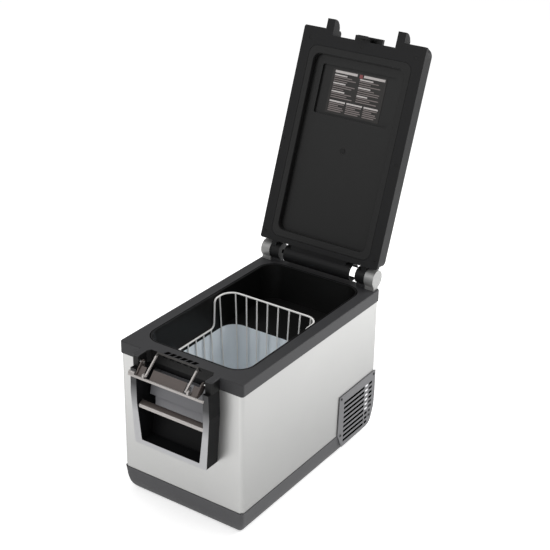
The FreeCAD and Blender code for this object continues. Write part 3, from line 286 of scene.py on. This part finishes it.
def surface(name, colour, rough, metal=0.0, vary=0.08, patch=18.0, grain=900.0, depth=0.00006,
            stretch=(1, 1, 1), specular=0.5, anisotropy=0.0, painted_bottom_shade=None, trim=None, pocket_shades=(),
            sides=None, crown=None):
    """A finish with uneven colour, uneven gloss and a fine surface grain.

    painted_bottom_shade: low level, high level and the colour's factor at the bottom; painted shade, darker
    towards the bottom.
    crown: low level, high level and the colour's factor at the top.
    trim, zones and sides: see silver_trim_painted_reflection, painted_pocket_shade and painted_side_shade;
    these paint a reflection over the silver trim, shade in the front and rear pockets and shade on the
    faces that look along X.
    """
    net = Tree(name)
    shader = net.shader
    shader.inputs["Metallic"].default_value = metal
    shader.inputs["Anisotropic"].default_value = anisotropy
    shader.inputs["Specular IOR Level"].default_value = specular
    place = net.make("ShaderNodeTexCoord")
    cloud = net.make("ShaderNodeTexNoise", Scale=patch, Detail=5.0, Roughness=0.6)
    net.join(place, "Object", cloud, "Vector")
    tone = net.mix(cloud, "Fac", tint(colour, 1 - vary), tint(colour, 1 + vary))
    split = net.split(place, "Object")
    # Painted shade: the colour darkens towards the bottom.
    if painted_bottom_shade:
        level = net.ramp(split, "Z", painted_bottom_shade[0], painted_bottom_shade[1], "SMOOTHSTEP")
        dark = net.mix(cloud, "Fac", tint(colour, painted_bottom_shade[2] * (1 - vary)), tint(colour, painted_bottom_shade[2] * (1 + vary)))
        tone = net.mix(level, "Result", dark, tone)
    if trim:
        tone = silver_trim_painted_reflection(net, tone, split, net.split(place, "Normal"), trim)
    if crown:
        level = net.ramp(split, "Z", crown[0], crown[1])
        tone = net.mix(level, "Result", tone, tint(colour, crown[2]))
    # Painted shade: black in the front and rear pockets.
    for zone in pocket_shades:
        tone = painted_pocket_shade(net, tone, split, zone)
    # Painted shade on the faces that look along X.
    if sides:
        tone = painted_side_shade(net, tone, net.split(place, "Normal"), sides)
    net.tree.links.new(tone, shader.inputs["Base Color"])
    mapping = net.make("ShaderNodeMapping", Scale=stretch)
    net.join(place, "Object", mapping, "Vector")
    fine = net.make("ShaderNodeTexNoise", Scale=grain, Detail=3.0, Roughness=0.55)
    net.join(mapping, "Vector", fine, "Vector")
    gloss = net.make("ShaderNodeMapRange", **{"To Min": max(0.02, rough - GLOSS_SPREAD),
                                              "To Max": min(1.0, rough + GLOSS_SPREAD)})
    half = net.make("ShaderNodeMath", "MULTIPLY")
    half.inputs[1].default_value = 0.5
    net.join(fine, "Fac", half, 0)
    blend = net.make("ShaderNodeMath", "MULTIPLY_ADD")
    blend.inputs[1].default_value = 0.5
    net.join(cloud, "Fac", blend, 0)
    net.join(half, "Value", blend, 2)
    net.join(blend, "Value", gloss, "Value")
    net.join(gloss, "Result", shader, "Roughness")
    bump = net.make("ShaderNodeBump", Distance=depth, Strength=1.0)
    net.join(fine, "Fac", bump, "Height")
    net.join(bump, "Normal", shader, "Normal")
    if anisotropy:
        tangent = net.make("ShaderNodeTangent")
        tangent.direction_type = "RADIAL"
        tangent.axis = "Z"
        net.join(tangent, "Tangent", shader, "Tangent")
    return net.material


FINISHES = {
    # Painted shade on the steel: darker towards the bottom and on the faces that look along X.
    "brushed_steel_skin": dict(colour=(0.55, 0.55, 0.542), rough=0.36, metal=1.0, vary=0.05, patch=7.0,
                               grain=1.0, stretch=(14, 14, 1700), depth=0.00002, anisotropy=0.4,
                               painted_bottom_shade=(0.05, 0.42, 0.80), sides=0.74),
    # Painted shade on the rim: black in the front and rear pockets.
    "rim_moulding": dict(colour=(0.033, 0.033, 0.035), rough=0.5, vary=0.12, specular=0.25,
                         pocket_shades=((0.1035, 0.304, 0.343, 0.4402), (0.1245, 0.3187, 0.36, 0.4375))),
    # Black for painted shade: the rim's slot marks, the line round the mouth and the fill in the grille
    # slots.
    "painted_shade_black": dict(colour=(0.001, 0.001, 0.001), rough=0.8, specular=0.0),
    # Painted light: pale fill for the bright backdrop seen through the grille.
    "painted_glimpse_pale": dict(colour=(0.75, 0.75, 0.76), rough=0.6),
    "bail_wire": dict(colour=(0.40, 0.375, 0.36), rough=0.35, metal=0.6, crown=(0.4445, 0.4455, 0.12)),
    # The frame's silver front faces are its trim colour; their darkening higher up is a painted reflection.
    "frame_moulding": dict(colour=(0.006, 0.006, 0.0065), rough=0.5, vary=0.12, specular=0.1,
                           trim=((0.45, 0.45, 0.46), 0.3215, 0.285, 0.365)),
    "base_moulding": dict(colour=(0.072, 0.072, 0.075), rough=0.55, vary=0.1, specular=0.15),
    "black_liner": dict(colour=(0.004, 0.004, 0.004), rough=0.4, vary=0.1, specular=0.2),
    "lid_panel": dict(colour=(0.007, 0.007, 0.007), rough=0.45, vary=0.12, specular=0.25),
    "lid_charcoal": dict(colour=(0.011, 0.011, 0.0115), rough=0.5, vary=0.12, specular=0.15),
    "tub_grey": dict(colour=(0.86, 0.92, 0.97), rough=0.3, vary=0.04),
    "insulation": dict(colour=(0.75, 0.66, 0.42), rough=0.9),
    "rubber_black": dict(colour=(0.008, 0.008, 0.008), rough=0.6, specular=0.3),
    "champagne_metal": dict(colour=(0.42, 0.38, 0.36), rough=0.36, metal=0.85),
    "taupe_metal": dict(colour=(0.085, 0.070, 0.064), rough=0.5, metal=0.4, vary=0.15, patch=30.0),
    # A lighter metal colour on the lever's lip and lugs and on the grips' lips: a painted highlight.
    "light_metal": dict(colour=(0.40, 0.378, 0.365), rough=0.35, metal=0.6),
    "hinge_grey": dict(colour=(0.30, 0.30, 0.295), rough=0.45, metal=0.5),
    "bright_steel": dict(colour=(0.7, 0.7, 0.69), rough=0.25, metal=1.0),
    "black_screw": dict(colour=(0.004, 0.004, 0.004), rough=0.4, specular=0.2),
    "coated_wire": dict(colour=(0.85, 0.84, 0.82), rough=0.3),
    "grille_grey": dict(colour=(0.12, 0.12, 0.125), rough=0.5, specular=0.3),
    "panel_grey": dict(colour=(0.15, 0.15, 0.16), rough=0.3),
    "display_glass": dict(colour=(0.02, 0.02, 0.025), rough=0.08),
    "button_grey": dict(colour=(0.06, 0.06, 0.065), rough=0.4),
    "circuit_board": dict(colour=(0.02, 0.12, 0.05), rough=0.5),
    "brass_insert": dict(colour=(0.6, 0.42, 0.16), rough=0.35, metal=1.0),
    "evaporator_metal": dict(colour=(0.7, 0.7, 0.7), rough=0.4, metal=1.0),
    "compressor_black": dict(colour=(0.015, 0.015, 0.015), rough=0.35),
    "zinc_plate": dict(colour=(0.55, 0.55, 0.54), rough=0.45, metal=1.0),
    "copper_tube": dict(colour=(0.72, 0.34, 0.2), rough=0.3, metal=1.0),
    "fan_black": dict(colour=(0.014, 0.014, 0.014), rough=0.5),
    "electronics_case": dict(colour=(0.12, 0.12, 0.13), rough=0.5),
    "socket_black": dict(colour=(0.012, 0.012, 0.012), rough=0.4),
    "lens_white": dict(colour=(0.8, 0.8, 0.78), rough=0.3),
    "label_film": dict(colour=(0.009, 0.0075, 0.0065), rough=0.4, specular=0.3),
    "label_text": dict(colour=(0.19, 0.165, 0.16), rough=0.6, vary=0.25, patch=240.0, specular=0.2),
    "label_heading": dict(colour=(0.50, 0.47, 0.46), rough=0.6, vary=0.2, patch=240.0, specular=0.2),
    "label_red": dict(colour=(0.22, 0.07, 0.075), rough=0.6, vary=0.2, patch=240.0, specular=0.2),
}
NODE_FINISH = {"front_handle_frame": "frame_moulding", "rear_handle_frame": "frame_moulding",
               "lid_inner_panel": "lid_panel", "top_rim": "rim_moulding",
               "cover_screws": "black_screw", "lid_screws": "black_screw",
               "latch_bail": "bail_wire"}


def finishes():
    made = {name: surface(name + "_look", **values) for name, values in FINISHES.items()}
    for part in frame["record"]["subparts"]:
        look = made[NODE_FINISH.get(part["node"], part["material_slot"])]
        for slot in nodes[part["node"]].material_slots:
            slot.material = look
    return made


# ---------------------------------------------------------------- mesh helpers

def opened(point):
    """A place drawn with the lid shut, in millimetres, moved to where the open lid has it."""
    away = Vector(point) - HINGE
    return Matrix.Rotation(OPEN_ANGLE, 3, "X") @ away + HINGE


def add_piece(name, parts, finish, body, smooth=True):
    """A new mesh object from shapes in millimetres, riding on a body."""
    mesh = bpy.data.meshes.new(name)
    mesh.from_pydata([Vector(p) * MM for p in parts.points], [], parts.faces)
    for look in finish:
        mesh.materials.append(looks[look])
    for polygon, index in zip(mesh.polygons, parts.looks):
        polygon.material_index = index
    clean = bmesh.new()
    clean.from_mesh(mesh)
    bmesh.ops.recalc_face_normals(clean, faces=clean.faces)
    clean.to_mesh(mesh)
    clean.free()
    if smooth:
        mesh.shade_smooth()
        mesh.set_sharp_from_angle(angle=math.radians(38))
    item = bpy.data.objects.new(name, mesh)
    bpy.context.scene.collection.objects.link(item)
    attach(item, body)
    return item


class Parts:
    """Points, faces and finish numbers gathered from several shapes."""

    def __init__(self):
        self.points, self.faces, self.looks = [], [], []

    def add(self, points, faces, look=0):
        base = len(self.points)
        self.points += [tuple(p) for p in points]
        self.faces += [tuple(base + i for i in face) for face in faces]
        self.looks += [look] * len(faces)

    def prism(self, section, x_low, x_high, look=0):
        """A section of (y, z) corners drawn out along X."""
        n = len(section)
        points = [(x, y, z) for x in (x_low, x_high) for y, z in section]
        faces = [tuple(range(n)), tuple(range(2 * n - 1, n - 1, -1))]
        faces += [(i, (i + 1) % n, n + (i + 1) % n, n + i) for i in range(n)]
        self.add(points, faces, look)

    def tube(self, line, radius, sides=12, closed=False):
        """A round wire along a line of points."""
        count = len(line)
        line = [Vector(p) for p in line]
        if closed:
            ways = [(line[(i + 1) % count] - line[i - 1]).normalized() for i in range(count)]
        else:
            ways = [(line[min(i + 1, count - 1)] - line[max(i - 1, 0)]).normalized() for i in range(count)]
        across = ways[0].orthogonal().normalized()
        points = []
        for spot, way in zip(line, ways):
            across = (across - way * across.dot(way)).normalized()
            other = way.cross(across)
            points += [spot + radius * (across * math.cos(a) + other * math.sin(a))
                       for a in (2 * math.pi * k / sides for k in range(sides))]
        faces = []
        for i in range(count if closed else count - 1):
            here, after = i * sides, ((i + 1) % count) * sides
            faces += [(here + k, here + (k + 1) % sides, after + (k + 1) % sides, after + k)
                      for k in range(sides)]
        if not closed:
            faces += [tuple(range(sides)), tuple(range((count - 1) * sides, count * sides))]
        self.add(points, faces)


def bend(corners, radius, steps=7, closed=False):
    """The corners of a line with each bend rounded off. Works in 2 or 3 dimensions."""
    corners = [Vector(c) for c in corners]
    count = len(corners)
    line = []
    for i, corner in enumerate(corners):
        if not closed and i in (0, count - 1):
            line.append(corner)
            continue
        before, after = corners[i - 1] - corner, corners[(i + 1) % count] - corner
        reach = min(radius, 0.48 * before.length, 0.48 * after.length)
        start, end = corner + before.normalized() * reach, corner + after.normalized() * reach
        for k in range(steps + 1):
            t = k / steps
            line.append(start * (1 - t) ** 2 + corner * (2 * t * (1 - t)) + end * t ** 2)
    return line


# ---------------------------------------------------------------- basket

def basket_half_at(level):
    """Half of the basket's width at a level."""
    extra = (BASKET_HALF - BASKET_FLOOR_HALF) * (level - BASKET_FLOOR) / (BASKET_HIGH - BASKET_FLOOR)
    return BASKET_FLOOR_HALF + extra


def corner_inset(x, side):
    """How far the rail's round corner stands in from its straight run at this x."""
    past = abs(x) - (side - BASKET_TURN)
    return BASKET_TURN - math.sqrt(BASKET_TURN ** 2 - past ** 2) if past > 0 else 0


def basket_rail():
    """The hand rail: low along the front and sides, stepping up round the rear."""
    low, high, front, rear = BASKET_LOW, BASKET_HIGH, BASKET_FRONT, BASKET_REAR
    turn, step, wide = BASKET_TURN, BASKET_STEP, BASKET_HALF
    narrow = basket_half_at(low)
    half = [(0, front, low)]
    for k in range(10):
        a = math.radians(90 - 10 * k)
        half.append((narrow - turn + turn * math.cos(a), front + turn - turn * math.sin(a), low))
    half += bend([(narrow, -100, low), (narrow, step - 4, low), (wide, step + 6, high),
                  (wide, step + 34, high)], WIRE_BEND)[1:]
    for k in range(1, 10):
        a = math.radians(10 * k)
        half.append((wide - turn + turn * math.cos(a), rear - turn + turn * math.sin(a), high))
    half.append((0, rear, high))
    rail = half + [(-x, y, z) for x, y, z in reversed(half[1:-1])]
    parts = Parts()
    parts.tube(rail, RAIL_RADIUS, sides=16, closed=True)
    add_rail = add_piece("basket_hand_rail", parts, ("coated_wire",), "basket")
    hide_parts("basket_rail")


def basket_wires():
    """The wires that run down one wall, across the floor and up the other."""
    floor, low, high = BASKET_FLOOR, BASKET_LOW, BASKET_HIGH
    front, rear = BASKET_FRONT, BASKET_REAR
    spread, tuck, drop = 0.87, 9, 3.6
    wires = Parts()
    for column in range(-4, 4):
        x = (column + 0.5) * WIRE_PITCH
        route = [(x, front + corner_inset(x, basket_half_at(low)), low), (spread * x, front + tuck, floor),
                 (spread * x, rear - tuck, floor), (x, rear - corner_inset(x, BASKET_HALF), high)]
        wires.tube(bend(route, WIRE_BEND), WIRE_RADIUS)
    crossing = [(low, CROSS_FIRST + CROSS_PITCH * line) for line in range(7)]
    for level, y in crossing + [(high, BASKET_STEP + 28)]:
        half, under = basket_half_at(level), floor - drop
        route = [(-half, y, level), (-BASKET_FLOOR_HALF, y, under), (BASKET_FLOOR_HALF, y, under),
                 (half, y, level)]
        wires.tube(bend(route, WIRE_BEND), WIRE_RADIUS)
    item = add_piece("basket_wire_work", wires, ("coated_wire",), "basket")
    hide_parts("basket_floor_wires", "basket_upright_wires")


# ---------------------------------------------------------------- latch lever and grips

def lever():
    """A folded lever: a lip with one thicker end, a leaning plate in three parts, two lugs and
    an ear at each end."""
    parts = Parts()
    lip = bend([(-377.3, 395), (-372, 393.5), (-370, 397), (-371, 400.5), (-376, 401)], 2.5, closed=True)
    parts.prism(lip, -114.8, 114.8, look=1)
    foot = bend([(-376.6, 401), (-368, 401), (-366.5, 406), (-373, 408)], 2, closed=True)
    parts.prism(foot, -114.8, -96, look=1)
    for start, end in ((-52, 52), (-94, -73), (73, 94)):
        sheet = [(-371.5, 398.6), (-370.2, 397.6), (-351.2, 417.6), (-352.6, 418.8)]
        parts.prism(sheet, start, end)
    for side in (-1, 1):
        lug = bend([(-376, 400.5), (-364.5, 400.5), (-366, 410.5), (-374.5, 410.5)], 3, closed=True)
        a, b = sorted((side * 65.6, side * 71.4))
        parts.prism(lug, a, b, look=1)
        ear = bend([(-371, 397), (-351, 400), (-337.5, 413), (-337, 429), (-349, 429.5), (-371, 404)], 6,
                   closed=True)
        a, b = sorted((side * 91, side * 94.5))
        parts.prism(ear, a, b)
    # The lip, its thicker end and the lugs take the lighter colour: a painted highlight.
    item = add_piece("latch_lever_plate", parts, ("taupe_metal", "light_metal"), "latch_lever")
    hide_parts("latch_lever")


def grips():
    """Each grip is a dark bar with a rounded lip along its outer edge, whose lighter colour is a painted
    highlight.
    """
    for name, side in (("front", -1), ("rear", 1)):
        parts = Parts()
        top = bend([(351, 303.2), (354, 308.6), (347, 312), (340, 313), (337, 309.5), (342, 304.5)], 2,
                   closed=True)
        parts.prism([(side * y, z) for y, z in top], -100.1, 100.1)
        lip = bend([(356.8, 299), (356.8, 305.5), (353.5, 308.4), (350.5, 306), (351, 299.5), (353.5, 297)],
                   2.2, closed=True)
        parts.prism([(side * y, z) for y, z in lip], -100.1, 100.1, look=1)
        item = add_piece(name + "_grip_bar", parts, ("taupe_metal", "light_metal"), "cabinet")
        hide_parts(name + "_handle_bar")


# ---------------------------------------------------------------- rim details

def slots():
    """Six slanted black marks on the rim behind the latch pocket: painted shade that reads as the dark
    insides of slots.
    """
    parts = Parts()
    for column in range(6):
        x = -60 + 17 * column
        corners = bend([(x, -304), (x + 12, -304), (x + 17, -292), (x + 5, -292)], 1.5, closed=True)
        count = len(corners)
        points = [(x, y, z) for z in (RIM_TOP + 0.02, RIM_TOP + 0.3) for x, y in corners]
        faces = [tuple(range(count)), tuple(range(count, 2 * count))]
        faces += [(i, (i + 1) % count, count + (i + 1) % count, count + i) for i in range(count)]
        parts.add(points, faces)
    add_piece("rim_slot_shade_marks", parts, ("painted_shade_black",), "cabinet", smooth=False)


def apron():
    """The lower edge of the control panel, which runs on down behind the grip."""
    parts = Parts()
    section = bend([(-318.2, 326), (-319.9, 321.5), (-320.6, 297), (-317.6, 295), (-316.4, 322)], 1.5,
                   closed=True)
    parts.prism(section, -76, 96)
    add_piece("panel_apron", parts, ("panel_grey",), "cabinet")


def mouth_edge_shade():
    """A thin black line round the opening: painted shade along the mouth's edge."""
    def outline(grow):
        half, turn = MOUTH_HALF + grow, MOUTH_ROUND + grow
        front, rear = MOUTH_FRONT - grow, MOUTH_REAR + grow
        line = []
        for x, y, start in ((half - turn, rear - turn, 0), (turn - half, rear - turn, 90),
                            (turn - half, front + turn, 180), (half - turn, front + turn, 270)):
            line += [(x + turn * math.cos(math.radians(start + 9 * k)),
                      y + turn * math.sin(math.radians(start + 9 * k))) for k in range(11)]
        return line

    parts = Parts()
    inner, outer = outline(0.3), outline(2.6)
    count = len(inner)
    low, high = RIM_TOP + 0.02, RIM_TOP + 0.06
    loops = [[(x, y, z) for x, y in line] for line, z in
             ((inner, low), (inner, high), (outer, high), (outer, low))]
    faces = []
    for ring in range(4):
        here, after = ring * count, (ring + 1) % 4 * count
        faces += [(here + i, here + (i + 1) % count, after + (i + 1) % count, after + i)
                  for i in range(count)]
    parts.add([point for loop in loops for point in loop], faces)
    add_piece("mouth_edge_shade_line", parts, ("painted_shade_black",), "cabinet", smooth=False)


def grille_painted_shade_and_light():
    """Painted shade, a black fill in each grille's slots, with painted light, pale fills for the bright
    backdrop seen through the upper six of the middle column.
    """
    for name, side in (("right", 1), ("left", -1)):
        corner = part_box("vent_grille_" + name)
        face = max(abs(corner[0][0]), abs(corner[1][0])) / MM
        parts = Parts()
        for row in range(GRILLE_ROWS):
            middle = GRILLE_FIRST + GRILLE_PITCH * row
            last = min(301, middle + 188)
            for column, (start, end) in enumerate(((151, 258), (263, 277), (282, last))):
                if end - start < GRILLE_SHORTEST:
                    continue
                # The pale fills are painted light seen through the slots; the black fills are painted
                # shade.
                pale = column == 1 and row > 2
                tall = 2.6 if pale else 4.0
                section = bend([(start, middle - tall), (end, middle - tall), (end, middle + tall),
                                (start, middle + tall)], 1.5, steps=3, closed=True)
                parts.prism(section, side * (face - 1.4), side * (face - 0.5), look=1 if pale else 0)
        add_piece("grille_painted_shade_and_light_" + name, parts, ("painted_shade_black", "painted_glimpse_pale"), "cabinet",
                  smooth=False)


# ---------------------------------------------------------------- lid label

def label():
    """Rows of plain bars on the dark film inside the lid: no words, only the look of a notice."""
    parts = Parts()

    def bar(u_low, u_high, v_low, v_high, look):
        """One bar, from shares of the label's width and length."""
        x_low, x_high = LABEL_LEFT + LABEL_WIDE * u_low, LABEL_LEFT + LABEL_WIDE * u_high
        y_low, y_high = LABEL_NEAR + LABEL_LONG * v_low, LABEL_NEAR + LABEL_LONG * v_high
        points = [opened((x, y, z)) for z in (463.98, 463.6) for x, y in
                  ((x_low, y_low), (x_high, y_low), (x_high, y_high), (x_low, y_high))]
        edges = [(i, (i + 1) % 4, 4 + (i + 1) % 4, 4 + i) for i in range(4)]
        parts.add(points, [(0, 1, 2, 3), (4, 5, 6, 7)] + edges, look)

    lengths = (0.92, 0.78, 0.96, 0.6, 0.9, 0.97, 0.84, 0.5, 0.94, 0.88, 0.7, 0.95)
    bar(0.05, 0.46, 0.03, 0.085, 1)
    bar(0.50, 0.56, 0.03, 0.11, 2)
    bar(0.58, 0.97, 0.03, 0.085, 1)
    for start, shift in ((0.05, 0), (0.52, 5)):
        for row in range(12):
            v = 0.12 + 0.0455 * row
            bold = row % 4 == 0
            width = 0.42 * lengths[(row + shift) % 12] * (0.6 if bold else 1)
            bar(start, start + width, v, v + (0.03 if bold else 0.02), 1 if bold else 0)
    for start, end in ((0.05, 0.34), (0.37, 0.66), (0.69, 0.95)):
        bar(start, end, 0.70, 0.735, 1)
        for row in range(5):
            v = 0.755 + 0.042 * row
            bar(start, start + (end - start) * lengths[row + 2], v, v + 0.023, 0)
    add_piece("label_print", parts, ("label_text", "label_heading", "label_red"), "lid",
              smooth=False)


# ---------------------------------------------------------------- build

camera()
stage()
looks = finishes()
basket_rail()
basket_wires()
lever()
grips()
slots()
apron()
mouth_edge_shade()
grille_painted_shade_and_light()
label()
